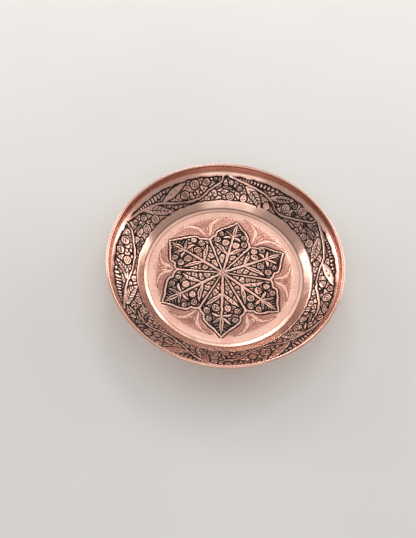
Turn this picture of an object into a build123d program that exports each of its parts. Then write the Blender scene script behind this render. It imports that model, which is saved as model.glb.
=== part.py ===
from build123d import *
import math
import os

# Round chased copper tray, raised from one sheet, with its edge curled over a stiffening wire.
# Millimetres. +Z is up. The origin is the centre of the underside, where the tray stands.

# Overall sizes
outside_diameter = 250.0    # over the curled edge
overall_height = 41.0       # underside of the floor to the top of the curled edge

# Sheet and edge wire
sheet_thickness = 0.8
wire_diameter = 1.6
wire_clearance = 0.05       # all round the wire, inside the curl
wire_joint_gap = 1.0        # between the two butted ends of the wire
curl_crease_radius = 0.6    # crease on the inside, where the wall turns into the curl
curl_end_angle = 75.0       # the curl stops this far below the horizontal, short of the wall

# Visible face of the sheet, from the centre outwards
foot_radius = 88.0          # foot of the well wall
foot_rise = 1.8             # of the foot above the flat of the floor
floor_turn_inset = 6.2      # middle of the floor's soft turn, in from the foot
well_wall_run = 7.0         # the well wall leans out by this much
well_wall_rise = 7.2
band_edge_inset = 7.2       # outer edge of the chased band, in from the outside
band_edge_drop = 14.5       # and down from the top
rim_wall_lean = 5.0         # degrees from vertical, leaning out
rim_wall_drop = 10.0        # foot of the rim wall, down from the top

# Bends of the visible face
floor_bend = 38.0
foot_bend = 1.0
shoulder_bend = 2.0
band_bend = 7.0
margin_bend = 6.0

# Chased line round the floor, on its soft turn
border_line_inset = 4.2     # in from the foot of the well wall
border_line_width = 0.8
border_line_depth = 0.25

# Star of leaves sunk in the floor, with ribs left standing between its halves
leaf_count = 6
leaf_tip_inset = 13.0       # tip of a leaf, in from the foot of the well wall
leaf_notch_radius = 49.0    # centre of the tray to the notch between two leaves
leaf_kink_along = 53.5      # small step in the outline, measured along the leaf
leaf_kink_across = 16.0     # and from its middle
leaf_lower_bulge = 1.6      # how far the outline swells between notch and kink
leaf_upper_bulge = 2.2      # and between kink and tip
leaf_turn = 30.0            # the first leaf, counted from +X
leaf_rib_width = 1.5
leaf_depth = 0.25

bead_radius = wire_diameter / 2 + wire_clearance + sheet_thickness
bead_ring_radius = outside_diameter / 2 - bead_radius
bead_height = overall_height - bead_radius
floor_top = sheet_thickness
foot_height = floor_top + foot_rise
floor_turn_radius = foot_radius - floor_turn_inset
leaf_length = foot_radius - leaf_tip_inset


def polar(centre, radius, degrees):
    """The point at an angle and a distance from a centre, in the section plane."""
    angle = math.radians(degrees)
    return (centre[0] + radius * math.cos(angle), centre[1] + radius * math.sin(angle))


def crease_centre():
    """Centre of the crease where the rim wall turns into the curl, the sheet lying square on the wire."""
    lean = math.radians(rim_wall_lean)
    across = sheet_thickness + curl_crease_radius
    drop = math.sqrt((bead_radius + curl_crease_radius) ** 2 - across**2)
    radius = bead_ring_radius - across * math.cos(lean) - drop * math.sin(lean)
    return (radius, bead_height + across * math.sin(lean) - drop * math.cos(lean))


def visible_corners():
    """The visible face in section as straight runs, from the axis to the crease below the curl."""
    wall_top = polar(crease_centre(), curl_crease_radius, -rim_wall_lean)
    wall_foot_height = overall_height - rim_wall_drop
    lean_out = (wall_top[1] - wall_foot_height) * math.tan(math.radians(rim_wall_lean))
    return [
        (0, floor_top),
        (floor_turn_radius, floor_top),
        (foot_radius, foot_height),
        (foot_radius + well_wall_run, foot_height + well_wall_rise),
        (outside_diameter / 2 - band_edge_inset, overall_height - band_edge_drop),
        (wall_top[0] - lean_out, wall_foot_height),
        wall_top,
    ]


def shifted(points, depth):
    """The same runs moved below the visible face by depth, mitred, with the first end kept on the axis."""
    normals = []
    for (ax, ay), (bx, by) in zip(points, points[1:]):
        length = math.hypot(bx - ax, by - ay)
        normals.append(((by - ay) / length, -(bx - ax) / length))
    moved = [(points[0][0], points[0][1] - depth)]
    for (x, y), (px, py), (qx, qy) in zip(points[1:-1], normals, normals[1:]):
        share = depth / (1 + px * qx + py * qy)
        moved.append((x + share * (px + qx), y + share * (py + qy)))
    last = points[-1]
    moved.append((last[0] + depth * normals[-1][0], last[1] + depth * normals[-1][1]))
    return moved


def arc_about(centre, radius, start, end):
    """An arc about a centre between two angles in degrees."""
    middle = (start + end) / 2
    return ThreePointArc(
        polar(centre, radius, start), polar(centre, radius, middle), polar(centre, radius, end)
    )


def sheet_side(depth):
    """One side of the sheet in section, depth below the visible face, from the axis to the curl's end."""
    # Hollow bends grow with depth, and the shoulder, which is the one proud bend, shrinks.
    radii = [
        floor_bend + depth,
        foot_bend + depth,
        shoulder_bend - depth,
        band_bend + depth,
        margin_bend + depth,
    ]
    crease = crease_centre()
    bead = (bead_ring_radius, bead_height)
    to_bead = math.degrees(math.atan2(bead[1] - crease[1], bead[0] - crease[0]))
    body = FilletPolyline(*shifted(visible_corners(), depth), radius=radii)
    crease_arc = arc_about(crease, curl_crease_radius + depth, -rim_wall_lean, to_bead)
    curl_arc = arc_about(bead, bead_radius - depth, to_bead + 180, -curl_end_angle)
    return Wire([*body.edges(), crease_arc, curl_arc])


def raised_sheet():
    """The bare sheet: floor, well wall, band, sloped margin, rim wall and curl."""
    top = sheet_side(0)
    under = sheet_side(sheet_thickness)
    cap = Line(top @ 1, under @ 1)
    axis = Line(under @ 0, top @ 0)
    section = make_face([*top.edges(), cap, *under.edges(), axis])
    return revolve(Plane.XZ * section, Axis.Z)


def border_line():
    """A V-shaped line chased round the floor, on its soft turn up to the well wall."""
    turn = math.atan2(foot_rise, floor_turn_inset)
    bend_start = floor_turn_radius - floor_bend * math.tan(turn / 2)
    radius = foot_radius - border_line_inset
    surface = floor_top + floor_bend - math.sqrt(floor_bend**2 - (radius - bend_start) ** 2)
    half = border_line_width / 2
    # The top of the cut stands clear of the sloped surface on both sides.
    clear = border_line_width
    groove = make_face(
        Polyline(
            (radius - half, surface),
            (radius, surface - border_line_depth),
            (radius + half, surface),
            (radius + half, surface + clear),
            (radius - half, surface + clear),
            close=True,
        )
    )
    return revolve(Plane.XZ * groove, Axis.Z)


def swelling_arc(start, end, bulge):
    """An arc between two points that swells to the right of its direction by bulge."""
    along = (end - start).normalized()
    outward = Vector(along.Y, -along.X)
    return ThreePointArc(start, (start + end) / 2 + outward * bulge, end)


def half_leaf():
    """The sunk ground of the left half of a leaf that points along +X."""
    half_angle = math.radians(180 / leaf_count)
    tip = Vector(leaf_length, 0)
    kink = Vector(leaf_kink_along, leaf_kink_across)
    notch = Vector(leaf_notch_radius * math.cos(half_angle), leaf_notch_radius * math.sin(half_angle))
    outline = make_face(
        [
            Line((0, 0), tip),
            swelling_arc(tip, kink, leaf_upper_bulge),
            swelling_arc(kink, notch, leaf_lower_bulge),
            Line(notch, (0, 0)),
        ]
    )
    return offset(outline, amount=-leaf_rib_width / 2, kind=Kind.ARC)


def star_ground():
    """The sunk ground of all the leaves, as tools that cut down to leaf_depth."""
    half = half_leaf()
    tools = []
    for index in range(leaf_count):
        turn = Rot(0, 0, leaf_turn + index * 360 / leaf_count)
        for side in (half, mirror(half, about=Plane.XZ)):
            pocket = Pos(0, 0, floor_top - leaf_depth) * turn * side
            tools.append(extrude(pocket, amount=2 * leaf_depth, dir=(0, 0, 1)))
    return tools


def tray_body():
    """The whole sheet with its chased star and border line."""
    return raised_sheet() - border_line() - star_ground()


def rim_wire():
    """The wire ring inside the curl, with its ends butted but not joined."""
    gap_angle = math.degrees(wire_joint_gap / bead_ring_radius)
    section = Plane.XZ * Pos(bead_ring_radius, bead_height) * Circle(wire_diameter / 2)
    return revolve(section, Axis.Z, revolution_arc=360 - gap_angle)


os.makedirs("parts", exist_ok=True)
for name, piece in {"tray_body": tray_body(), "rim_wire": rim_wire()}.items():
    export_step(piece, f"parts/{name}.step")
    print(name, "volume", round(piece.volume), "mm3")
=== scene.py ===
import math

import bpy
import numpy as np
from mathutils import Matrix, Vector


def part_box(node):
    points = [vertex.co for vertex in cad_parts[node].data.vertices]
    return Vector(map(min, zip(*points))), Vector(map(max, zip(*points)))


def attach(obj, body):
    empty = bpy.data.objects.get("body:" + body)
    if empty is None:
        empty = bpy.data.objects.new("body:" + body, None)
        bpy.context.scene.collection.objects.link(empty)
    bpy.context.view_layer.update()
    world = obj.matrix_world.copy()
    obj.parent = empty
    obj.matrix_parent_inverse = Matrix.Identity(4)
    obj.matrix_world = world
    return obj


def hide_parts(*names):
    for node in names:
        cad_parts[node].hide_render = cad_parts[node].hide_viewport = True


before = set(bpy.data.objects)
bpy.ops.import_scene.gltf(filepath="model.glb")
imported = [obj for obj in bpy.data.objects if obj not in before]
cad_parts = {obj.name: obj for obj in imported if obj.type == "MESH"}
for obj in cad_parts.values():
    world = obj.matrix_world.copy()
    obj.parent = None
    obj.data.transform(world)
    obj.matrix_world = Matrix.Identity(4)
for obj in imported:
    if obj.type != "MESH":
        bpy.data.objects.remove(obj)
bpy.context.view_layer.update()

# The chased copper tray. Lengths in this script are in millimetres until a mesh, a light or
# the camera is made, and MM turns them into metres. Angles on the tray are counted from +X.
MM = 0.001
rng = np.random.default_rng(7)

_, body_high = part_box("tray_body")
outer_radius = body_high.x / MM
rim_top = body_high.z / MM

# The sheet, as the CAD part has it
sheet = 0.8
bead_radius = 1.65
bead_ring = outer_radius - bead_radius
bead_height = rim_top - bead_radius
crease_radius = 0.6
curl_end = 75.0
wall_lean = 5.0
foot_radius = 88.0
foot_height = sheet + 1.8
shoulder = (foot_radius + 7.0, foot_height + 7.2)
band_edge = (outer_radius - 7.2, rim_top - 14.5)
wall_foot_height = rim_top - 10.0
bends = (38.0, 1.0, 2.0, 7.0, 6.0)
floor_turn = foot_radius - 6.2
border_ring = foot_radius - 4.2

# The star on the floor: where its spokes cross, and the direction and distance from there to each
# leaf's tip and each notch. A camera fitted to the photo gave these numbers. No two leaves are alike.
star_centre = np.array([-1.1, 1.3])
leaf_tips = [(78.8, 69.7), (25.4, 74.4), (-34.7, 75.4), (-88.1, 77.7), (-145.4, 75.7), (-209.8, 72.7)]
leaf_notches = [(112.4, 45.2), (51.1, 45.7), (-4.7, 53.0), (-58.8, 51.9), (-116.0, 50.9), (-179.3, 50.8)]
pattern_tip = 75.0      # of the one leaf that all six are drawn from
pattern_notch = 50.0

# Chasing
REACH = 4.0             # how far from a stroke distances are worked out
PITCH = 0.16            # of the fields that the chasing is drawn on
FAR = 99.0              # stands for no cell yet
CELL_REACH = 8          # how far a cell of the ground can spread
CELL_LENGTHS = (0.7, 1.3)   # how it measures distance along and across itself
line_depth = 0.34
pillow = 0.17           # how proud the metal stands between two lines
fine_depth = 0.14
fine_half = 0.32        # half the width of the fine line round what is left plain


# ---- drawing of chased lines

class Canvas:
    """A flat field. For each layer it holds the distance from each spot to the edge of the nearest
    stroke, which is below nought inside the stroke. The layers are the metal left standing in a
    blackened ground, the brighter part of that metal, the cuts made in it, and fine unblackened
    lines with the metal left plain between them."""

    def __init__(self, low, high, wrap=None):
        self.low = np.array(low, float)
        self.columns, self.rows = (np.ceil((np.array(high) - self.low) / PITCH).astype(int) + 1).tolist()
        self.wrap = wrap
        self.shifts = (0,) if wrap is None else (-wrap, 0, wrap)
        self.layers = {}
        for name in ("metal", "bright", "cut", "fine", "plain"):
            self.layers[name] = np.full((self.rows, self.columns), REACH, np.float32)
        self.ground = np.full((self.rows, self.columns), -REACH, np.float32)

    def stroke(self, layer, points, widths):
        """A line through the points. widths is one number, or several spread evenly along the line."""
        points = np.atleast_2d(np.asarray(points, float))
        if len(points) == 1:
            points = np.vstack([points, points + 1e-4])
        widths = np.atleast_1d(np.asarray(widths, float))
        half = np.interp(np.linspace(0, 1, len(points)), np.linspace(0, 1, max(len(widths), 2)),
                         np.resize(widths, max(len(widths), 2))) / 2
        for shift in self.shifts:
            for a, b, ha, hb in zip(points, points[1:], half, half[1:]):
                self._segment(self.layers[layer], a + (shift, 0), b + (shift, 0), ha, hb)

    def _window(self, low, high):
        """The part of a field between two corners, and the x and y of its spots."""
        x0, y0 = np.maximum(np.floor((low - self.low) / PITCH).astype(int), 0)
        x1, y1 = np.ceil((high - self.low) / PITCH).astype(int)
        x1, y1 = max(min(x1, self.columns), x0), max(min(y1, self.rows), y0)
        x = self.low[0] + np.arange(x0, x1) * PITCH
        y = (self.low[1] + np.arange(y0, y1) * PITCH)[:, None]
        return (slice(y0, y1), slice(x0, x1)), x, y

    def _segment(self, field, a, b, half_a, half_b):
        reach = REACH + max(half_a, half_b)
        part, x, y = self._window(np.minimum(a, b) - reach, np.maximum(a, b) + reach)
        dx, dy = x - a[0], y - a[1]
        ex, ey = b - a
        along = np.clip((dx * ex + dy * ey) / (ex * ex + ey * ey), 0, 1)
        gap = np.hypot(dx - along * ex, dy - along * ey) - (half_a + (half_b - half_a) * along)
        np.minimum(field[part], gap, out=field[part])

    def grid(self):
        x = self.low[0] + np.arange(self.columns) * PITCH
        y = (self.low[1] + np.arange(self.rows) * PITCH)[:, None]
        return x, y

    def at(self, field, spot):
        i, j = np.round((np.asarray(spot) - self.low) / PITCH).astype(int)
        if self.wrap is not None:
            i %= self.columns - 1
        return float(field[min(max(j, 0), self.rows - 1), min(max(i, 0), self.columns - 1)])

    def sample(self, field, x, y):
        """The field's value at each spot, between its four nearest points."""
        if self.wrap is not None:
            x = np.mod(x, self.wrap)
        u = np.clip((x - self.low[0]) / PITCH, 0, self.columns - 1.001)
        v = np.clip((y - self.low[1]) / PITCH, 0, self.rows - 1.001)
        i, j = u.astype(int), v.astype(int)
        u, v = u - i, v - j
        near = field[j, i] * (1 - u) + field[j, i + 1] * u
        far = field[j + 1, i] * (1 - u) + field[j + 1, i + 1] * u
        return near * (1 - v) + far * v

    def black(self):
        """Distance from the blackened ground and cuts, below nought inside them."""
        ground = np.minimum(self.layers["metal"], self.ground)
        return np.minimum(-ground, self.layers["cut"])

    def fine(self):
        """Distance from the fine lines, which also run along the edges of what is left plain."""
        return np.minimum(self.layers["fine"], np.abs(self.layers["plain"]) - fine_half)

    def fill_ground(self, lane, smallest, pace):
        """Leaves close cells of metal standing in the bare ground, with a lane between them."""
        room = np.minimum(self.layers["metal"], self.ground)
        nearest = np.full(room.shape, FAR, np.float32)
        second = nearest.copy()
        middles = []
        while True:
            value = np.where(nearest > pace, room, 0)
            row, column = divmod(int(np.argmax(value)), self.columns)
            if value[row, column] < smallest:
                break
            middle = self.low + np.array([column, row]) * PITCH + rng.uniform(-0.25, 0.25, 2)
            turn = rng.uniform(0, 180)
            middles.append((middle, float(room[row, column]), turn))
            for shift in self.shifts:
                self._settle(nearest, second, middle + (shift, 0), turn)
        boss = np.minimum((second - nearest) / 2, room - lane / 2) - lane / 2
        np.minimum(self.layers["metal"], -boss, out=self.layers["metal"])
        for middle, width, turn in middles:
            size = min(width, REACH) - lane
            if size > 1.7:
                for offset in (-0.36, 0.36):
                    line = turned([(-0.45 * size, offset * size), (0.45 * size, 0.7 * offset * size)], turn)
                    self.stroke("cut", middle + line, (0.5, 0.95, 0.4))
            elif size > 0.6:
                line = turned([(-0.5 * size, 0), (0.5 * size, 0)], turn)
                self.stroke("cut", middle + line, (0.5, 0.95, 0.5))

    def _settle(self, nearest, second, spot, turn):
        """Brings the distances to the nearest and the second nearest cell's middle up to date. Each
        cell measures distance shorter along its own turn, which makes it a leaf and not a pebble."""
        part, x, y = self._window(spot - CELL_REACH, spot + CELL_REACH)
        dx, dy = x - spot[0], y - spot[1]
        c, s = math.cos(math.radians(turn)), math.sin(math.radians(turn))
        gap = np.hypot((dx * c + dy * s) * CELL_LENGTHS[0], (dy * c - dx * s) * CELL_LENGTHS[1])
        close, next_close = nearest[part], second[part]
        np.minimum(next_close, np.maximum(gap, close), out=next_close)
        np.minimum(close, gap, out=close)


def curve(points):
    """A smooth line through the points."""
    pace = 0.9
    p = np.asarray(points, float)
    p = np.vstack([2 * p[0] - p[1], p, 2 * p[-1] - p[-2]])
    out = []
    for a, b, c, d in zip(p, p[1:], p[2:], p[3:]):
        t = np.linspace(0, 1, max(2, int(np.linalg.norm(c - b) / pace)), endpoint=False)[:, None]
        out.append(0.5 * (2 * b + (c - a) * t + (2 * a - 5 * b + 4 * c - d) * t**2
                          + (3 * b - 3 * c + d - a) * t**3))
    return np.vstack(out + [p[-2:-1]])


def beside(points, gap):
    """The line moved to its left by gap."""
    p = np.asarray(points, float)
    along = np.gradient(p, axis=0)
    along /= np.linalg.norm(along, axis=1)[:, None] + 1e-9
    return p + gap * np.stack([-along[:, 1], along[:, 0]], axis=1)


def ring(centre, radius, squash=1.0, turn=0.0, start=0.0, sweep=360.0):
    """Points round a circle or an oval, or round part of one."""
    angle = np.radians(np.linspace(start, start + sweep, max(6, int(sweep / 20))))
    oval = np.stack([radius * np.cos(angle), radius * squash * np.sin(angle)], axis=1)
    return np.asarray(centre) + turned(oval, turn)


def turned(points, degrees):
    c, s = math.cos(math.radians(degrees)), math.sin(math.radians(degrees))
    return np.asarray(points, float) @ np.array([[c, s], [-s, c]])


def direction(degrees):
    return np.array([math.cos(math.radians(degrees)), math.sin(math.radians(degrees))])


def same(points):
    return np.asarray(points, float)


def put_rosette(canvas, place, centre, radius, kind):
    """A small round flower left standing, with a ring, slots, hatching, an eye or dots cut in it."""
    turn = rng.uniform(0, 180)
    squash = rng.uniform(0.84, 0.97)
    c = np.asarray(centre, float)
    slip = radius * (1 - squash)
    canvas.stroke("metal", place(c + turned([(-slip, 0), (slip, 0)], turn)), 2 * radius * squash)
    if kind == "ring":
        canvas.stroke("cut", place(ring(c, radius * 0.6, squash, turn, turn, 330)), 0.55)
        canvas.stroke("cut", place(c + turned([(-0.25 * radius, 0), (0.2 * radius, 0)], turn + 40)), 0.85)
    elif kind == "slot":
        slot = turned([(-0.4 * radius, 0.1), (0.4 * radius, -0.1)], turn)
        canvas.stroke("cut", place(c + slot), (0.7, 1.1, 0.7))
        canvas.stroke("cut", place(ring(c, radius * 0.64, squash, turn, turn + 30, 200)), 0.5)
    elif kind == "hatch":
        for offset in (-0.42, 0.0, 0.42):
            length = radius * rng.uniform(0.45, 0.62) * math.sqrt(1 - offset**2)
            line = turned([(-length, offset * radius), (length, offset * radius)], turn)
            canvas.stroke("cut", place(c + line), (0.5, 0.75, 0.5))
    elif kind == "eye":
        canvas.stroke("cut", place(c), 1.5)
        canvas.stroke("cut", place(ring(c, radius * 0.68, squash, turn, turn, 300)), 0.45)
    elif kind == "dots":
        for k in range(3):
            spot = c + turned([(radius * 0.42, 0)], turn + 120 * k + rng.uniform(-20, 20))
            canvas.stroke("cut", place(spot), 0.85)


def aside(line, share, span):
    """A point of the line, one a little further on, and the direction to their left."""
    n = len(line)
    p, q = line[int(share * n)], line[min(int((share + span) * n), n - 1)]
    return p, q, turned([q - p], 90)[0] / (np.linalg.norm(q - p) + 1e-9)


def put_leaf(canvas, place, spine, width, kind):
    """A pointed leaf left standing along a curved spine, with a vein, ribs, hatching or dots cut in it."""
    line = curve(spine)
    shape = np.array((0.35, 0.75, 1.0, 0.95, 0.65, 0.12)) * width
    canvas.stroke("metal", place(line), shape)
    canvas.stroke("bright", place(line), shape)
    n = len(line)
    if kind == "vein":
        canvas.stroke("cut", place(line[int(0.25 * n) : int(0.8 * n)]), (0.4, 0.7, 0.35))
    elif kind == "hatch":
        for share in (0.3, 0.45, 0.6, 0.74):
            p, q, side = aside(line, share, 0.12)
            canvas.stroke("cut", place([p - side * width * 0.22, q + side * width * 0.22]), 0.5)
    elif kind == "dots":
        for share in (0.38, 0.6):
            p = line[int(share * n)]
            canvas.stroke("cut", place([p, p + rng.uniform(-0.5, 0.5, 2)]), rng.uniform(0.9, 1.3))
    elif kind == "ribbed":
        canvas.stroke("cut", place(line[int(0.16 * n) : int(0.86 * n)]), (0.5, 1.0, 0.5))
        for share in np.arange(0.26, 0.8, 0.13):
            p, q, side = aside(line, share, 0.1)
            side = side * width * (0.42 - 0.25 * abs(share - 0.5))
            for hand in (side, -side):
                canvas.stroke("cut", place([p + 0.3 * hand, q + hand]), (0.8, 0.45))


# ---- the star on the floor

def leaf_frame(index, side=1):
    """Turns places on half of the pattern leaf, which points along +X, into places in the star."""
    tip_angle, tip = leaf_tips[index]
    left_angle, left = leaf_notches[index]
    right_angle, right = leaf_notches[(index + 1) % len(leaf_notches)]
    if right_angle > tip_angle:
        right_angle -= 360
    if left_angle < tip_angle:
        left_angle += 360

    def place(points):
        p = np.atleast_2d(np.asarray(points, float)) * (1, side)
        share = np.degrees(np.arctan2(p[:, 1], p[:, 0])) / 30.0
        outer = np.where(share > 0, left_angle - tip_angle, tip_angle - right_angle)
        angle = np.radians(tip_angle + share * outer)
        notch = np.where(share > 0, left, right) / pattern_notch
        stretch = tip / pattern_tip + (notch - tip / pattern_tip) * np.minimum(np.abs(share), 1.2)
        reach = np.hypot(p[:, 0], p[:, 1]) * stretch
        return star_centre + np.stack([reach * np.cos(angle), reach * np.sin(angle)], axis=1)

    return place


def leaf_outline():
    """Half of the pattern leaf's outline, from its notch by a small kink to its tip."""
    low = [(43.3, 25.0), (47.3, 23.4), (51.2, 19.8)]
    high = [(51.2, 19.8), (56.6, 19.4), (62.3, 14.3), (68.0, 7.0), (75.0, 0.0)]
    return np.vstack([curve(low)[:-1], curve(high)])


def chase_half_leaf(canvas, place):
    """One half of a leaf: what is left standing in its ground, and the cuts in that."""
    def shaken(x, y, much=0.6):
        return (x + rng.uniform(-much, much), y + rng.uniform(-much, much))

    outline = leaf_outline()
    ribs = (
        (np.array([(3.5, 2.0), outline[0]]), (1.5, 2.3, 2.5)),
        (outline, (2.5, 2.1, 2.2, 1.8)),
        (curve([(3.5, 0.15), (27, 0.3), (40, 0.2), (53, 0.1)]), (1.8, 2.9, 2.4, 2.0)),
        (curve([(53, 0.4), (61.5, 1.4), (72, 0.2)]), (1.0, 2.2, 0.5)),
    )
    for points, widths in ribs:
        for layer in ("metal", "bright"):
            canvas.stroke(layer, place(points), widths)
    canvas.stroke("cut", place(beside(outline, 1.65)[2:]), (0.5, 1.2, 1.0))

    kinds = list(rng.permutation(["ring", "slot", "hatch", "dots", "eye"]))
    put_leaf(canvas, place, [(26.5, 1.6), (31.0, 6.2), shaken(35.6, 11.6), (39.8, 18.6)], 4.8,
             rng.choice(["vein", "hatch", "dots"]))
    put_rosette(canvas, place, shaken(42.3, 7.0), rng.uniform(3.9, 4.4), kinds[0])
    put_rosette(canvas, place, shaken(45.6, 16.4, 0.5), rng.uniform(3.5, 4.0), kinds[1])
    put_leaf(canvas, place, [(51.5, 1.4), shaken(51.2, 6.5, 0.4), (48.8, 11.0)], 3.2, "")
    put_rosette(canvas, place, shaken(55.4, 13.9, 0.5), rng.uniform(3.0, 3.4), kinds[2])
    put_leaf(canvas, place, [(53.6, 1.0), (57.4, 5.6), shaken(60.6, 10.2, 0.5)], 2.9,
             rng.choice(["vein", ""]))
    for k in range(3):
        start = np.array([61.2 + 2.9 * k, 3.9 - 0.9 * k])
        canvas.stroke("metal", place([start, start + (1.6, 4.4 - 1.2 * k)]), (1.0, 1.3, 0.6))


def chase_lily(canvas, index):
    """The calyx that opens outwards from a notch. Its two horns stay plain in a finely lined ground."""
    angle, reach = leaf_notches[index]
    notch = star_centre + reach * direction(angle)
    # The horns below are drawn for a notch 24 mm inside the plain margin, which starts at 75 mm
    scale = (75.0 - np.linalg.norm(notch)) / 24.0
    for side in (1, -1):
        def place(points):
            return notch + turned(np.asarray(points, float) * (scale, scale * side), angle)

        horn = curve([(2.5, 0.8), (9.5, 3.6), (15.5, 6.2), (19.3, 11.5), (20.8, 18.0), (20.4, 25.0)])
        canvas.stroke("plain", place(horn), (1.0, 3.0, 4.4, 3.2, 2.4, 0.4))
        for x, y in ((14.6, 5.2), (18.0, 9.6), (19.7, 14.0)):
            canvas.stroke("fine", place([(x, y), (x + 0.9, y + 1.6)]), (0.5, 1.2, 0.4))
        canvas.stroke("plain", place(curve([(9.0, 0.6), (13.5, 1.8), (18.5, 1.6)])), (0.6, 2.0, 0.5))


def chase_echoes(canvas, place):
    """Two fine lines that follow the outside of a leaf."""
    outline = leaf_outline()
    for gap, first, last in ((2.9, 4, -4), (4.6, 8, -8)):
        canvas.stroke("fine", place(beside(outline, gap)[first:last]), (0.4, 0.9, 0.4))


def stipple(canvas):
    """Short fine strokes over the ground between the star and the plain margin of the floor."""
    for reach in np.arange(45.0, 76.0, 1.7):
        for degrees in np.arange(rng.uniform(0, 2), 360, 100 / reach):
            spot = star_centre + direction(degrees) * reach + rng.uniform(-0.6, 0.6, 2)
            bare = min(canvas.at(canvas.layers["plain"], spot), canvas.at(canvas.layers["fine"], spot))
            if canvas.at(canvas.ground, spot) < -2.2 and bare > 0.8 and rng.random() < 0.85:
                mark = turned([(-0.55, 0), (0.55, 0)], degrees + rng.uniform(-35, 35))
                canvas.stroke("fine", spot + mark, (0.5, 0.85, 0.5))


def star_edge(canvas):
    """How far inside the star's outline each spot is, below nought outside it."""
    x, y = canvas.grid()
    x, y = x - star_centre[0], y - star_centre[1]
    corners = []
    for index in range(len(leaf_tips)):
        for side in (1, -1):
            line = leaf_frame(index, side)(leaf_outline())
            canvas.stroke("edge", line, 0.0)
            line = line - star_centre
            degrees = np.degrees(np.arctan2(line[:, 1], line[:, 0]))
            corners.append(np.stack([degrees, np.hypot(*line.T)], axis=1))
    table = np.vstack(corners)
    table = table[np.argsort(table[:, 0])]
    edge = np.interp(np.degrees(np.arctan2(y, x)), table[:, 0], table[:, 1], period=360)
    return np.where(np.hypot(x, y) < edge, 1, -1) * canvas.layers["edge"]


def chase_floor():
    canvas = Canvas((-foot_radius, -foot_radius), (foot_radius, foot_radius))
    canvas.layers["edge"] = np.full((canvas.rows, canvas.columns), REACH, np.float32)
    canvas.ground = star_edge(canvas)
    for layer in ("metal", "bright"):
        canvas.stroke(layer, star_centre, 6.4)
    canvas.stroke("cut", ring(star_centre, 1.9), 0.35)
    for index in range(len(leaf_tips)):
        for side in (1, -1):
            place = leaf_frame(index, side)
            chase_half_leaf(canvas, place)
            chase_echoes(canvas, place)
        chase_lily(canvas, index)
    stipple(canvas)
    canvas.fill_ground(1.45, 1.25, 7.2)
    return canvas


# ---- the vine on the band

band_slope = math.atan2(band_edge[1] - shoulder[1], band_edge[0] - shoulder[0])
band_middle = (shoulder[0] + band_edge[0]) / 2
band_across = band_middle / math.cos(band_slope) * math.log(band_edge[0] / shoulder[0])
band_round = 2 * math.pi * band_middle

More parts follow.
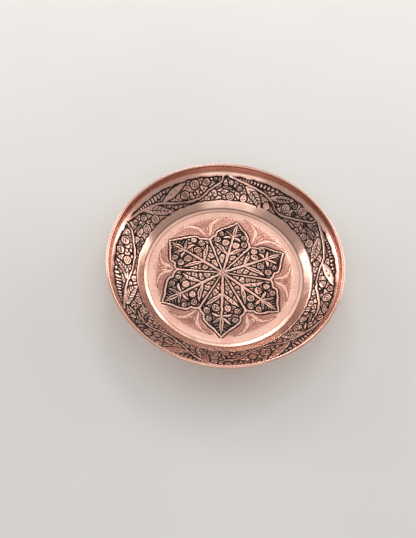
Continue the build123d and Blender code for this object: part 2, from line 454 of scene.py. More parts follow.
# Each wave of the vine, read off the photo, in degrees round the tray and shares of the
# band's width: its stem, its flowers (with their radii in millimetres), its two big leaves (base,
# bend and tip), its small leaflets (base and tip), and the comb of short strokes above it (where it
# starts and ends, and how low it hangs at its lowest).
waves = (
    {
        "stem": ((-32, 0.66), (-25, 0.63), (-20, 0.55), (-15, 0.42), (-11, 0.31), (-7, 0.25),
            (-3, 0.25), (1, 0.32), (5, 0.46), (9, 0.62), (14, 0.73), (20, 0.83), (26, 0.92),
            (31, 1.02)),
        "flowers": ((-16.2, 0.79, 4.6, "ring"), (-10.6, 0.85, 3, "hatch"), (-7, 0.52, 4.3, "slot"),
            (-12, 0.52, 1.9, "eye"), (7.9, 0.28, 3.8, "slot"), (23.2, 0.29, 4.9, "hatch"),
            (29.6, 0.22, 4.2, "slot"), (29.2, 0.79, 2.8, "ring"), (-20.6, 0.85, 2.6, "hatch")),
        "leaves": (((6.5, 0.56), (1, 0.69), (-8.5, 0.93)), ((22.5, 0.7), (16.5, 0.42), (10.6, 0.1))),
        "leaflets": (((25.5, 0.64), (34.5, 0.5)), ((24.4, 0.53), (31, 0.47)), ((-24.5, 0.97),
            (-21, 0.76)), ((34, 0.28), (37.4, 0.42))),
        "comb": (0.5, 24, 0.84),
    },
    {
        "stem": ((32.6, 1), (34.2, 0.8), (38.5, 0.6), (41.5, 0.47), (45.5, 0.33), (49.5, 0.21),
            (53.5, 0.18), (57.5, 0.25), (61, 0.42), (64.5, 0.56), (70, 0.66), (77, 0.76),
            (84, 0.87), (91, 1.02)),
        "flowers": ((42.2, 0.84, 5, "ring"), (51.7, 0.53, 5, "slot"), (45.3, 0.54, 2.1, "eye"),
            (47.8, 0.8, 2.6, "hatch"), (63.8, 0.19, 4.7, "plain"), (80.2, 0.19, 4.8, "dots"),
            (84, 0.56, 3.3, "eye"), (89.2, 0.19, 5, "ring"), (89.4, 0.77, 2.9, "dots"), (57, 0.46, 1.6,
            "plain"), (37.6, 0.88, 1.9, "dots")),
        "leaves": (((63, 0.6), (57.5, 0.72), (50.5, 0.93)), ((79.5, 0.68), (73, 0.38), (67.2, 0))),
        "leaflets": (((94.5, 0.57), (88, 0.51)), ((95.4, 0.66), (98.8, 0.5)), ((44.6, 0.15),
            (38.6, 0.14)), ((35, 0.42), (33.6, 0.22))),
        "comb": (60.6, 88, 0.78),
    },
    {
        "stem": ((94.2, 1), (95.4, 0.76), (99.5, 0.61), (103, 0.47), (106, 0.32), (109.5, 0.19),
            (114, 0.14), (119, 0.15), (124, 0.22), (129, 0.35), (133.5, 0.51), (138, 0.65),
            (146, 0.79), (153, 0.91), (159, 1.02)),
        "flowers": ((104.3, 0.8, 4.3, "hatch"), (111.5, 0.77, 5.1, "ring"), (119.2, 0.46, 5.2, "hatch"),
            (98.6, 0.87, 2.2, "slot"), (145.4, 0.22, 5.2, "hatch"), (150.8, 0.6, 3.7, "slot"),
            (154.6, 0.2, 5.6, "ring"), (156.4, 0.74, 2.9, "slot"), (128, 0.13, 2.1, "plain"),
            (108.5, 0.42, 1.7, "plain"), (112.6, 0.41, 1.6, "plain"), (101.4, 0.12, 2.3, "dots")),
        "leaves": (((133.5, 0.59), (127.5, 0.68), (116.6, 0.93)), ((147, 0.78), (139.5, 0.4),
            (131.8, 0))),
        "leaflets": (((162.5, 0.57), (155.5, 0.5)), ((97.6, 0.34), (95, 0.22)), ((132, 0.2),
            (130.5, 0.05)), ((160.3, 0.95), (162.4, 0.72))),
        "comb": (129.5, 154, 0.74),
    },
    {
        "stem": ((160.5, 1), (162, 0.72), (165.5, 0.52), (169, 0.39), (172, 0.27), (176, 0.18),
            (180.5, 0.15), (185.5, 0.18), (190, 0.29), (194.5, 0.43), (200, 0.6), (206, 0.76),
            (213, 0.98)),
        "flowers": ((169.8, 0.76, 5, "slot"), (176.6, 0.82, 4.3, "slot"), (181.4, 0.47, 5.3, "hatch"),
            (174.2, 0.42, 2.2, "plain"), (208.9, 0.2, 4.8, "slot"), (216, 0.2, 5.3, "ring"),
            (218.6, 0.82, 2.9, "plain"), (222.6, 0.8, 2.6, "hatch"), (167.3, 0.15, 2.5, "hatch"),
            (163, 0.16, 2.2, "dots"), (213.6, 0.52, 1.8, "plain")),
        "leaves": (((193.5, 0.49), (188.5, 0.53), (182.6, 0.9)), ((210, 0.76), (203, 0.42),
            (197.6, 0.03))),
        "leaflets": (((222.3, 0.57), (215.5, 0.5)), ((212.3, 0.74), (218, 0.66)), ((173.8, 0.05),
            (170.4, 0.14)), ((225, 0.94), (226.2, 0.68))),
        "comb": (187.2, 209, 0.68),
    },
    {
        "stem": ((221, 0.52), (225.5, 0.56), (228.5, 0.49), (232, 0.35), (236, 0.21), (240.5, 0.16),
            (245, 0.19), (249, 0.31), (253, 0.48), (257, 0.65), (261.5, 0.79), (266, 0.87),
            (272, 1)),
        "flowers": ((230.4, 0.81, 4.3, "slot"), (234, 0.56, 3.9, "eye"), (238.6, 0.87, 3.4, "plain"),
            (241.2, 0.47, 5.1, "hatch"), (267.6, 0.48, 4.4, "ring"), (224.6, 0.3, 2.3, "plain"),
            (229.4, 0.24, 2.4, "dots"), (275.6, 0.42, 2.2, "plain"), (274.6, 0.86, 3.3, "dots")),
        "leaves": (((253, 0.57), (248.6, 0.69), (242.4, 0.94)), ((264.6, 0.76), (260.5, 0.42),
            (257.4, 0.07))),
        "leaflets": (((273.2, 0.6), (272, 0.27)), ((269.6, 0.15), (263.6, 0.14)), ((221.6, 0.42),
            (220.6, 0.18)), ((276.6, 0.96), (279.6, 0.72))),
        "comb": (246.5, 268, 0.72),
    },
    {
        "stem": ((270.5, 0.74), (274.5, 0.64), (279, 0.6), (282.5, 0.49), (286, 0.34), (290, 0.21),
            (295, 0.15), (299.5, 0.19), (303, 0.32), (306.5, 0.48), (311, 0.57), (317, 0.71),
            (323, 0.85), (330, 1)),
        "flowers": ((288.2, 0.56, 3.9, "plain"), (295.6, 0.52, 5.6, "slot"), (284, 0.84, 3.3, "slot"),
            (289.6, 0.86, 3, "hatch"), (320.5, 0.32, 5, "ring"), (327.2, 0.25, 4.3, "dots"),
            (330.8, 0.86, 3.2, "slot"), (277.4, 0.22, 2.2, "plain"), (304.6, 0.14, 2.4, "plain"),
            (332, 0.22, 2.4, "plain")),
        "leaves": (((309, 0.66), (303, 0.72), (294.4, 0.93)), ((318.6, 0.68), (314, 0.4),
            (310, 0.12))),
        "leaflets": (((321.4, 0.62), (325.6, 0.46)), ((282.4, 0.1), (279.8, 0.28)), ((326.8, 0.56),
            (333, 0.44)), ((334.2, 0.94), (337.6, 0.74))),
        "comb": (303.4, 326, 0.76),
    },
)


def unrolled(points):
    """Places on the band's canvas, from degrees and shares of the band's width."""
    p = np.atleast_2d(np.asarray(points, float))
    return np.stack([np.radians(p[:, 0]) * band_middle, p[:, 1] * band_across], axis=1)


def band_y(radius):
    """The band is unrolled so that a small circle on it stays a circle."""
    return band_middle / math.cos(band_slope) * np.log(radius / shoulder[0])


def chase_wave(canvas, wave):
    stem = curve(unrolled(wave["stem"]))
    for layer in ("metal", "bright"):
        canvas.stroke(layer, stem, (1.6, 2.4, 2.6, 2.6, 2.4, 2.6, 2.2))
    middle = len(stem) // 2
    canvas.stroke("cut", beside(stem, -0.5)[middle - 14 : middle + 6], (0.3, 0.5, 0.3))
    for degrees, share, radius, kind in wave["flowers"]:
        put_rosette(canvas, same, unrolled((degrees, share))[0], radius, kind)
    kinds = (rng.choice(["dots", "ribbed"]), "ribbed")
    for spine, width, kind in zip(wave["leaves"], (8.0, 10.5), kinds):
        put_leaf(canvas, same, unrolled(spine), width, kind)
    for base, tip in wave["leaflets"]:
        put_leaf(canvas, same, unrolled((base, tip)), 2.6, rng.choice(["", "vein"]))
    first, last, low = wave["comb"]
    edge = first
    while edge < last - 1.2:
        span = (2.3 - 0.8 * (edge - first) / (last - first)) * rng.uniform(0.85, 1.15)
        hang = np.interp((edge - first) / (last - first), (0, 0.25, 1), (0.86, low, 0.92))
        wide = math.radians(span) * band_middle - 1.1
        top, foot = unrolled(((edge + span / 2, 0.955), (edge + span / 2 + 0.2, hang)))
        top[1] -= wide * 0.4
        foot[1] = min(foot[1] + wide * 0.45, top[1])
        canvas.stroke("metal", (top, foot), (wide, 0.7 * wide))
        edge += span


def band_border(canvas):
    """How far inside the band's two hand-cut borders each spot is."""
    x, y = canvas.grid()
    angle = x / band_middle
    inner = (0.03 + 0.05 * np.cos(angle - math.radians(335))) * band_across
    inner = inner + 0.25 * np.sin(23 * angle + 1) + 0.2 * np.sin(61 * angle)
    outer = band_across + 0.3 * np.sin(17 * angle) + 0.25 * np.sin(47 * angle + 2)
    return np.minimum(y - inner, outer - y)


def chase_band():
    margin = 6.0
    canvas = Canvas((0, -margin), (band_round, band_across + margin), wrap=band_round)
    canvas.ground = band_border(canvas)
    for wave in waves:
        chase_wave(canvas, wave)
    canvas.fill_ground(1.35, 1.2, 7.6)
    return canvas


# ---- the sheet in section

FACE_PACE = 0.03        # between the points of the section
BEND_POINTS = 60
CURL_POINTS = 200


def about(centre, radius, start, end, count):
    """Points on an arc about a centre, between two angles in degrees."""
    angle = np.radians(np.linspace(start, end, count))
    return np.stack([centre[0] + radius * np.cos(angle), centre[1] + radius * np.sin(angle)], axis=1)


def visible_face():
    """The visible face in section, as closely spaced points from the axis to the end of the curl."""
    lean = math.radians(wall_lean)
    across = sheet + crease_radius
    drop = math.sqrt((bead_radius + crease_radius) ** 2 - across**2)
    crease = np.array([bead_ring - across * math.cos(lean) - drop * math.sin(lean),
                       bead_height + across * math.sin(lean) - drop * math.cos(lean)])
    wall_top = crease + crease_radius * np.array([math.cos(lean), -math.sin(lean)])
    lean_out = (wall_top[1] - wall_foot_height) * math.tan(lean)
    corners = np.array([(0, sheet), (floor_turn, sheet), (foot_radius, foot_height), shoulder, band_edge,
                        (wall_top[0] - lean_out, wall_foot_height), wall_top])
    runs = [corners[:1]]
    for before, corner, after, radius in zip(corners, corners[1:], corners[2:], bends):
        a, b = before - corner, after - corner
        a, b = a / np.linalg.norm(a), b / np.linalg.norm(b)
        opening = math.acos(float(a @ b))
        centre = corner + (a + b) / np.linalg.norm(a + b) * radius / math.sin(opening / 2)
        start = corner + a * radius / math.tan(opening / 2) - centre
        end = corner + b * radius / math.tan(opening / 2) - centre
        first = math.degrees(math.atan2(start[1], start[0]))
        last = math.degrees(math.atan2(end[1], end[0]))
        last = first + (last - first + 180) % 360 - 180
        runs.append(about(centre, radius, first, last, BEND_POINTS))
    to_bead = math.degrees(math.atan2(bead_height - crease[1], bead_ring - crease[0]))
    runs.append(about(crease, crease_radius, -wall_lean, to_bead, BEND_POINTS))
    bead = (bead_ring, bead_height)
    runs.append(about(bead, bead_radius, to_bead + 180, -curl_end, CURL_POINTS)[1:])
    rough = np.vstack(runs)
    length = np.concatenate([[0], np.cumsum(np.linalg.norm(np.diff(rough, axis=0), axis=1))])
    fine = np.arange(0, length[-1], FACE_PACE)
    return np.stack([np.interp(fine, length, rough[:, 0]), np.interp(fine, length, rough[:, 1])], axis=1)


face = visible_face()
face_length = np.arange(len(face)) * FACE_PACE
face_tangent = np.gradient(face, axis=0)
face_tangent /= np.linalg.norm(face_tangent, axis=1)[:, None]
face_normal = np.stack([-face_tangent[:, 1], face_tangent[:, 0]], axis=1)
curl_start = face_length[np.argmax(face[:, 1] > bead_height - bead_radius * 0.2)]


def rows_of(spacing_at):
    """Path lengths of the mesh's rows, from the axis to the end of the curl."""
    rows = [spacing_at(0.0) * 0.8]
    while rows[-1] < face_length[-1] - 0.1:
        rows.append(rows[-1] + spacing_at(rows[-1]))
    rows[-1] = face_length[-1]
    return np.array(rows)


def upper_spacing(length):
    """How far apart the rows of the visible side are: closest on the curl and where it is chased."""
    radius = np.interp(length, face_length, face[:, 0])
    if length > curl_start:
        return 0.22
    if radius < foot_radius - 9 or shoulder[0] - 2 < radius < band_edge[0] + 3:
        return 0.36
    return 0.6


def under_spacing(length):
    return 0.35 if length > curl_start else 1.3


# ---- relief and wear

def step(low, high, value):
    t = np.clip((value - low) / (high - low), 0, 1)
    return t * t * (3 - 2 * t)


def swell(x, y, seed, size):
    """A smooth random field of about -1 to 1, with lumps of the given size."""
    local = np.random.default_rng(seed)
    total = np.zeros(np.broadcast(x, y).shape)
    for _ in range(14):
        turn, phase = local.uniform(0, 2 * math.pi), local.uniform(0, 2 * math.pi)
        pitch = local.uniform(0.6, 1.7)
        across = x * math.cos(turn) + y * math.sin(turn)
        total = total + np.sin(across * 2 * math.pi * pitch / size / 2 + phase)
    return total / 5.3


def wobble(x, y):
    """Places moved a little, as a hand with a hammer strays from the drawing."""
    return x + 0.28 * swell(x, y, 11, 4.2), y + 0.28 * swell(x, y, 12, 4.2)


class Chasing:
    """The floor's and the band's canvases together, read at places on the tray."""

    def __init__(self):
        self.floor, self.band = chase_floor(), chase_band()
        self.fields = []
        for canvas in (self.floor, self.band):
            self.fields.append({"black": canvas.black(), "fine": canvas.fine(), "ground": canvas.ground,
                                "bright": canvas.layers["bright"], "plain": canvas.layers["plain"]})

    def read(self, name, radius, angle):
        """One field, as distances in millimetres; REACH where nothing is chased."""
        out = np.full(radius.shape, REACH)
        x, y = wobble(radius * np.cos(angle), radius * np.sin(angle))
        on_floor = radius < foot_radius - 3
        out[on_floor] = self.floor.sample(self.fields[0][name], x[on_floor], y[on_floor])
        on_band = (radius > shoulder[0] - 3) & (radius < band_edge[0] + 4)
        strayed, turned_to = np.hypot(x, y)[on_band], np.arctan2(y, x)[on_band]
        out[on_band] = self.band.sample(self.fields[1][name], (turned_to % (2 * math.pi)) * band_middle,
                                        band_y(strayed))
        return out


def relief(black, fine, radius):
    """How far the chased face stands off the plain one: below nought, as it is only driven down."""
    cut = -line_depth * step(0.25, -0.35, black) - pillow * np.exp(-np.maximum(black, 0) / 0.75)
    cut += pillow * math.exp(-REACH / 0.75)
    border = -0.25 * np.maximum(0, 1 - np.abs(radius - border_ring) / 0.55)
    return cut - fine_depth * step(0.25, -0.25, fine) + border


def undulation(x, y, radius):
    """The slow unevenness of a sheet raised by hand, the same on both its sides; never below nought."""
    slow = 0.16 * np.maximum(swell(x, y, 3, 46.0) + 1.3, 0.0)
    planished = 0.03 * np.maximum(swell(x, y, 5, 9.0) + 1.5, 0.0)
    return (slow + planished) * step(outer_radius - 4, foot_radius + 12, radius)


# ---- the tray's mesh

def column_count(radius, finest, most):
    need = 2 * math.pi * max(radius, 0.1) / finest
    return int(min(most, max(16, 2 ** math.ceil(math.log2(need)))))


def ring_counts(lengths, finest, busy_most, plain_most):
    """How many points each ring of one side gets, at most twice as many as the ring inside it."""
    counts = []
    for radius in np.interp(lengths, face_length, face[:, 0]):
        plain = foot_radius - 9 < radius < shoulder[0] - 3 or radius > band_edge[0] + 4
        count = column_count(radius, finest, plain_most if plain else busy_most)
        if counts:
            count = min(count, counts[-1] * 2)
        counts.append(count)
    return counts


def stitch(first_a, count_a, first_b, count_b, flip):
    """Faces between two rings, where one may have twice the columns of the other."""
    if count_a == count_b:
        k = np.arange(count_a)
        n = (k + 1) % count_a
        faces = np.stack([first_a + k, first_b + k, first_b + n, first_a + n], axis=1)
    else:
        swap = count_a > count_b
        if swap:
            first_a, count_a, first_b, count_b = first_b, count_b, first_a, count_a
        k = np.arange(count_a)
        n = (k + 1) % count_a
        b0, b1, b2 = 2 * k, 2 * k + 1, (2 * k + 2) % count_b
        faces = np.concatenate([
            np.stack([first_a + k, first_b + b0, first_b + b1], axis=1),
            np.stack([first_a + k, first_b + b1, first_a + n], axis=1),
            np.stack([first_a + n, first_b + b1, first_b + b2], axis=1),
        ])
        flip = flip != swap
    return faces[:, ::-1] if flip else faces


def ring_points(length, count):
    """Radius, height, the face's normal and the angles for one ring."""
    radius = np.interp(length, face_length, face[:, 0])
    height = np.interp(length, face_length, face[:, 1])
    normal = np.array([np.interp(length, face_length, face_normal[:, k]) for k in (0, 1)])
    normal /= np.linalg.norm(normal)
    return radius, height, normal, 2 * math.pi * np.arange(count) / count


def build_side(lengths, counts, depth, chasing):
    """Positions, path lengths, radii and angles of the points on one side of the sheet."""
    radius, height, across, up, angle, path = [], [], [], [], [], []
    for length, count in zip(lengths, counts):
        r, z, normal, angles = ring_points(length, count)
        radius.append(np.full(count, r))
        height.append(np.full(count, z))
        across.append(np.full(count, normal[0]))
        up.append(np.full(count, normal[1]))
        angle.append(angles)
        path.append(np.full(count, length))
    radius, height, across, up, angle, path = map(np.concatenate, (radius, height, across, up, angle, path))
    x, y = radius * np.cos(angle), radius * np.sin(angle)
    on_curl = path > curl_start
    black = np.where(on_curl, REACH, chasing.read("black", radius, angle))
    uneven = np.where(on_curl, 0.0, undulation(x, y, radius))
    if depth == 0:
        fine = np.where(on_curl, REACH, chasing.read("fine", radius, angle))
        proud = relief(black, fine, radius)
    else:
        clear = step(outer_radius, outer_radius - 4, radius)
        facets = 0.05 * np.abs(swell(x, y, 21, 7.0)) * clear * ~on_curl
        proud = 0.25 * relief(np.maximum(black, 0.0), REACH, radius) + facets - depth
    r = radius + proud * across
    points = np.stack([r * np.cos(angle), r * np.sin(angle), height + proud * up + uneven], axis=1)
    return points, path, radius, angle


def side_faces(first, counts, centre, flip):
    """The faces of one side, from its middle point outwards, and where its last ring starts."""
    starts = first + np.concatenate([[0], np.cumsum(counts)[:-1]])
    k = np.arange(counts[0])
    fan = np.stack([np.full(counts[0], centre), starts[0] + k, starts[0] + (k + 1) % counts[0]], axis=1)
    out = [fan[:, ::-1] if flip else fan]
    for a, ca, b, cb in zip(starts, counts, starts[1:], counts[1:]):
        out.append(stitch(int(a), ca, int(b), cb, flip))
    return out, int(starts[-1])


def build_tray(chasing):
    top_rows, under_rows = rows_of(upper_spacing), rows_of(under_spacing)
    top_counts = ring_counts(top_rows, finest=0.4, busy_most=2048, plain_most=1024)
    under_counts = ring_counts(under_rows, finest=1.3, busy_most=1024, plain_most=1024)
    top, top_path, top_radius, top_angle = build_side(top_rows, top_counts, 0.0, chasing)
    under, under_path, _, under_angle = build_side(under_rows, under_counts, sheet, chasing)

    middle = np.array([[0, 0, sheet - 0.1], [0, 0, 0.12]])  # of the visible side and the underside
    points = np.vstack([middle, top, under])
    top_faces, top_last = side_faces(2, top_counts, 0, False)
    under_faces, under_last = side_faces(2 + len(top), under_counts, 1, True)
    cap = stitch(top_last, top_counts[-1], under_last, under_counts[-1], False)
    groups = [(f, 0) for f in top_faces] + [(cap, 0)] + [(f, 1) for f in under_faces]

    loops = np.concatenate([f.ravel() for f, _ in groups])
    sizes = np.concatenate([np.full(len(f), f.shape[1]) for f, _ in groups])
    belongs = np.concatenate([np.full(f.size, side) for f, side in groups])

    mesh = bpy.data.meshes.new("tray_body_seen")
    mesh.vertices.add(len(points))
    mesh.vertices.foreach_set("co", (points * MM).astype(np.float32).ravel())
    mesh.loops.add(len(loops))
    mesh.loops.foreach_set("vertex_index", loops.astype(np.int32))
    mesh.polygons.add(len(sizes))
    loop_starts = np.concatenate([[0], np.cumsum(sizes)[:-1]])
    mesh.polygons.foreach_set("loop_start", loop_starts.astype(np.int32))
    mesh.update(calc_edges=True)
    mesh.shade_smooth()

    store_wear_and_shade(mesh, chasing, top_path, top_radius, top_angle, len(under))

    # The top fills a large disc of the picture that is made of it, and the underside a small one
    path = np.concatenate([[0, 0], top_path, under_path]) / face_length[-1]
    angle = np.concatenate([[0, 0], top_angle, under_angle])
    around = np.stack([np.cos(angle), np.sin(angle)], axis=1)
    disc = (path[:, None] * around)[loops]
    chosen = np.where((belongs == 1)[:, None], 0.866 + 0.13 * disc, 0.45 + 0.448 * disc)
    mesh.uv_layers.new(name="OFBake").data.foreach_set("uv", chosen.astype(np.float32).ravel())

    body = bpy.data.objects.new("tray_body_seen", mesh)
    bpy.context.scene.collection.objects.link(body)
    return body


def store_wear_and_shade(mesh, chasing, path, radius, angle, under_count):
    """Values at the points that the copper's look depends on: its wear and blackening, and painted shade.
    """
    def store(name, values, under=0.0):
        attribute = mesh.attributes.new(name, "FLOAT", "POINT")
        whole = np.concatenate([np.zeros(2), values, np.full(under_count, under)])
        attribute.data.foreach_set("value", whole.astype(np.float32))

    black = np.where(path > curl_start, REACH, chasing.read("black", radius, angle))
    fine, bright = chasing.read("fine", radius, angle), chasing.read("bright", radius, angle)
    plain, ground = chasing.read("plain", radius, angle), chasing.read("ground", radius, angle)
    # Painted shade: darker in the border line, at the foot of the well wall and in the crease under the
    # curl, where shade falls
    crease_shade = np.maximum(0.7 * np.exp(-((radius - border_ring) / 0.5) ** 2),
                      np.exp(-((radius - foot_radius) / 0.7) ** 2))
    crease_shade = np.maximum(crease_shade, np.exp(-((path - curl_start + 0.5) / 0.5) ** 2))
    # Blackened chased lines, with the painted shade of the creases added to them
    store("patina_and_crease_shade", np.maximum(step(0.34, 0.06, black), 0.75 * crease_shade))
    rim_wall = step(band_edge[0] + 5.0, band_edge[0] + 6.6, radius)
    rim_wall = rim_wall * step(curl_start + 0.6, curl_start - 0.4, path)
    well_wall = step(foot_radius - 1.5, foot_radius + 1.0, radius)
    well_wall = well_wall * step(shoulder[0], shoulder[0] - 2.0, radius)
    # Painted shade: the rim wall's film is heaviest on the far side, which darkens that side
    rim_wall = rim_wall * (0.55 + 0.4 * step(-0.3, 0.6, np.cos(angle - math.radians(110))))
    # Tarnish film on the walls and the underside, with painted shade on the far rim wall
    store("film_and_far_shade", np.maximum(rim_wall, 0.5 * well_wall), 0.6)
    # Painted shade beside the blackened lines, partly residue of the blackening
    store("line_residue_and_shade", np.exp(-np.maximum(black, 0) / 0.45))
    store("scribed", step(0.15, -0.1, fine))
    # Flowers and cells are duller than ribs, stems and leaves
    store("dull", step(-0.3, 0.5, bright) * step(-0.5, 0.8, ground))
    # The finely lined floor round the star is duller than its plain margin
    around_star = step(76.5, 73.0, radius) * step(-1.6, -3.0, ground) * step(-0.2, 0.6, plain)
    around_star *= 0.55 + 0.55 * np.exp(-np.maximum(plain, 0) / 2.5)
    store("haze", np.where(radius < foot_radius - 3, around_star, 0.0))


# ---- materials

class Nodes:
    """A short way to write a node tree."""

    def __init__(self, name):
        self.material = bpy.data.materials.new(name)
        self.material.use_nodes = True
        self.tree = self.material.node_tree
        self.tree.nodes.clear()
        self.shader = self.add("ShaderNodeBsdfPrincipled")
        out = self.add("ShaderNodeOutputMaterial")
        self.link(self.shader.outputs[0], out.inputs["Surface"])

    def add(self, kind, **settings):
        node = self.tree.nodes.new(kind)
        for key, value in settings.items():
            setattr(node, key, value)
        return node

    def link(self, a, b):
        self.tree.links.new(a, b)

    def put(self, value, socket):
        if isinstance(value, bpy.types.NodeSocket):
            self.link(value, socket)
        else:
            socket.default_value = value

    def shade(self, name, value):
        self.put(value, self.shader.inputs[name])

    def attribute(self, name):
        return self.add("ShaderNodeAttribute", attribute_name=name).outputs["Fac"]

    def share(self, name, much):
        return self.math("MULTIPLY", self.attribute(name), much)

    def place(self):
        return self.add("ShaderNodeTexCoord").outputs["Object"]

    def noise(self, scale, detail=3.0, rough=0.5, where=None, distort=0.0):
        node = self.add("ShaderNodeTexNoise")
        self.put(where or self.place(), node.inputs["Vector"])
        node.inputs["Scale"].default_value = scale
        node.inputs["Detail"].default_value = detail
        node.inputs["Roughness"].default_value = rough
        node.inputs["Distortion"].default_value = distort
        return node.outputs["Fac"]

    def ramp(self, value, low, high, out_low=0.0, out_high=1.0):
        node = self.add("ShaderNodeMapRange", interpolation_type="SMOOTHSTEP")
        for key, item in (("Value", value), ("From Min", low), ("From Max", high), ("To Min", out_low),
                          ("To Max", out_high)):
            self.put(item, node.inputs[key])
        return node.outputs["Result"]

    def math(self, how, a, b=0.0):
        node = self.add("ShaderNodeMath", operation=how)
        self.put(a, node.inputs[0])
        self.put(b, node.inputs[1])
        return node.outputs[0]

    def mix(self, share, a, b):
        node = self.add("ShaderNodeMix", data_type="RGBA")
        self.put(share, node.inputs["Factor"])
        for item, name in ((a, "A_Color"), (b, "B_Color")):
            socket = next(s for s in node.inputs if s.identifier == name)
            self.put((*item, 1.0) if isinstance(item, tuple) else item, socket)
        return next(s for s in node.outputs if s.identifier == "Result_Color")

    def stretched(self, scale):
        node = self.add("ShaderNodeMapping")
        self.put(self.place(), node.inputs["Vector"])
        node.inputs["Scale"].default_value = scale
        return node.outputs["Vector"]

    def bump(self, height, distance, strength=1.0):
        node = self.add("ShaderNodeBump")
        self.put(height, node.inputs["Height"])
        node.inputs["Distance"].default_value = distance
        node.inputs["Strength"].default_value = strength
        self.link(node.outputs["Normal"], self.shader.inputs["Normal"])


def copper():
    """Rosy polished copper with a thin uneven film, blackened in the chased lines, with painted shade in
    the creases, beside the lines and on the far rim wall.
    """
    n = Nodes("chased_copper")
    n.shade("Specular IOR Level", 0.2)
    blotch = n.noise(26.0, 4.0, 0.55)
    grain = n.noise(420.0, 2.0, 0.6)
    clean = n.mix(n.ramp(blotch, 0.35, 0.68), (0.95, 0.61, 0.51), (0.90, 0.51, 0.41))
    filmed = n.mix(n.ramp(grain, 0.5, 0.8, 0.0, 0.35), clean, (0.62, 0.30, 0.22))
    streaky = n.noise(34.0, 5.0, 0.65, n.stretched((1.0, 1.0, 0.35)), 1.5)
    # Streaky brown film on the walls, heaviest on the far rim wall as painted shade
    walled = n.mix(n.math("MULTIPLY", n.attribute("film_and_far_shade"), n.ramp(streaky, 0.3, 0.62, 0.35, 1.0)),
                   filmed, (0.60, 0.43, 0.34))
    scribed = n.mix(n.share("scribed", 0.9), walled, (0.16, 0.06, 0.045))
    hazed = n.mix(n.share("haze", 0.95), scribed, (0.42, 0.17, 0.13))
    dulled = n.mix(n.share("dull", 0.06), hazed, (0.45, 0.18, 0.12))
    # Darker copper beside the lines: painted shade, partly residue of the blackening
    line_shaded = n.mix(n.share("line_residue_and_shade", 0.2), dulled, (0.1, 0.04, 0.03))
    # Near black in the blackened chased lines and, as painted shade, in the creases
    patina_and_crease_shade = n.attribute("patina_and_crease_shade")
    colour = n.mix(n.math("MULTIPLY", patina_and_crease_shade, 0.98), line_shaded, (0.008, 0.006, 0.006))
    n.shade("Base Color", colour)
    bare = n.math("SUBTRACT", 1.0, n.share("film_and_far_shade", 0.3))
    n.shade("Metallic", n.math("MULTIPLY", bare, n.ramp(patina_and_crease_shade, 0.2, 0.9, 1.0, 0.15)))
    worn = n.ramp(n.noise(60.0, 5.0, 0.6), 0.3, 0.7, 0.18, 0.30)
    tarnished = n.math("MAXIMUM", worn, n.share("film_and_far_shade", 0.42))
    n.shade("Roughness", n.math("MAXIMUM", tarnished, n.math("MULTIPLY", patina_and_crease_shade, 0.7)))
    scratch = n.noise(900.0, 2.0, 0.5, n.stretched((1.0, 0.12, 1.0)))
    n.bump(n.math("ADD", n.noise(700.0, 3.0), scratch), 0.00004, 0.5)
    return n.material


def wire_metal():
    """Duller copper wire with drawing marks."""
    n = Nodes("drawn_wire")
    colour = n.mix(n.ramp(n.noise(90.0), 0.35, 0.65), (0.78, 0.42, 0.31), (0.55, 0.26, 0.17))
    n.shade("Base Color", colour)
    n.shade("Metallic", 1.0)
    n.shade("Roughness", n.ramp(n.noise(300.0), 0.3, 0.7, 0.3, 0.5))
    n.bump(n.noise(1200.0, 2.0, 0.5, n.stretched((1.0, 1.0, 0.1))), 0.00003, 0.4)
    return n.material


def paper():
    """The plain pale floor of the studio."""
    n = Nodes("pale_floor")
    colour = n.mix(n.ramp(n.noise(3.0), 0.3, 0.7), (0.84, 0.83, 0.81), (0.87, 0.86, 0.84))
    n.shade("Base Color", colour)
    n.shade("Roughness", 0.85)
    return n.material


# ---- floor, light and camera

def put_floor():
    bpy.ops.mesh.primitive_plane_add(size=6.0, location=(0, 0, -0.0002))
    floor = bpy.context.object
    floor.name = "studio_floor"
    floor.data.materials.append(paper())


def put_light(name, where, size, power, colour=(1.0, 1.0, 1.0)):
    """A soft rectangular lamp that points at the middle of the tray."""
    data = bpy.data.lights.new(name, "AREA")
    data.shape = "RECTANGLE"
    data.size, data.size_y = size
    data.energy = power
    data.color = colour
    lamp = bpy.data.objects.new(name, data)
    lamp.location = where
    lamp.rotation_euler = (Vector((0, 0, 0)) - Vector(where)).to_track_quat("-Z", "Y").to_euler()
    bpy.context.scene.collection.objects.link(lamp)


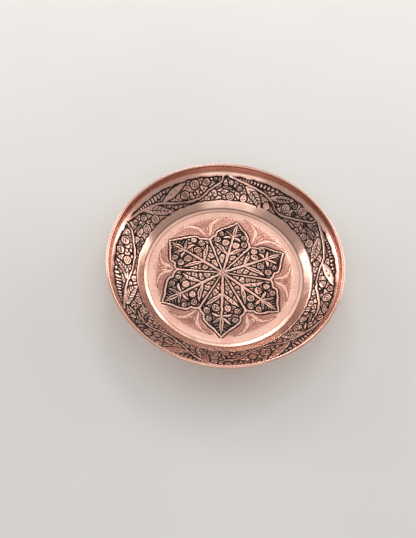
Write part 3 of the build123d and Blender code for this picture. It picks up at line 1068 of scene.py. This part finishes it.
def put_lights():
    world = bpy.data.worlds.new("studio")
    world.use_nodes = True
    background = world.node_tree.nodes["Background"]
    background.inputs["Color"].default_value = (1.0, 0.97, 0.94, 1.0)
    background.inputs["Strength"].default_value = 0.4
    bpy.context.scene.world = world
    bpy.context.scene.view_settings.view_transform = "Standard"
    put_light("key", (0.05, 0.64, 1.2), (1.3, 0.9), 1.85, (1.0, 0.96, 0.93))
    put_light("glint", (-0.14, 0.95, 0.68), (0.24, 0.24), 1.6, (1.0, 0.97, 0.93))
    put_light("gleam", (0.36, 0.78, 0.85), (0.28, 0.28), 0.9, (1.0, 0.97, 0.93))
    put_light("left", (-1.05, 0.65, 0.4), (0.9, 0.5), 4.6)
    put_light("right", (1.05, 0.65, 0.4), (0.9, 0.5), 4.4)
    put_light("front", (0.0, -0.95, 1.1), (1.3, 0.7), 3.6)


def put_camera():
    """A camera at the photo's angle: above the near edge, and rolled a little. Its angles, aim and
    lens were fitted to the tray's outlines in the photo."""
    tilt, roll, distance = 0.53911, 0.08163, 5 * outer_radius
    back = np.array([0, -math.sin(tilt), math.cos(tilt)])
    right, up = np.array([1.0, 0, 0]), np.array([0, math.cos(tilt), math.sin(tilt)])
    right, up = (math.cos(roll) * right + math.sin(roll) * up,
                 math.cos(roll) * up - math.sin(roll) * right)
    aim = -0.1387 * outer_radius * right + 0.0415 * outer_radius * up + (0, 0, sheet)
    spot = aim + distance * back
    data = bpy.data.cameras.new("photo_camera")
    data.sensor_fit = "AUTO"
    data.sensor_width = 36.0
    data.lens = 37.83
    data.clip_start = 0.05
    camera = bpy.data.objects.new("photo_camera", data)
    camera.location = spot * MM
    turn = np.stack([right, up, back], axis=1)
    camera.rotation_euler = Matrix(turn.tolist()).to_euler()
    bpy.context.scene.collection.objects.link(camera)
    bpy.context.scene.camera = camera


# ---- the scene

body = build_tray(Chasing())
body.data.materials.append(copper())
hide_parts("tray_body")
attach(body, "root")

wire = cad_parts["rim_wire"]
wire.data.materials.clear()
wire.data.materials.append(wire_metal())

put_floor()
put_lights()
put_camera()
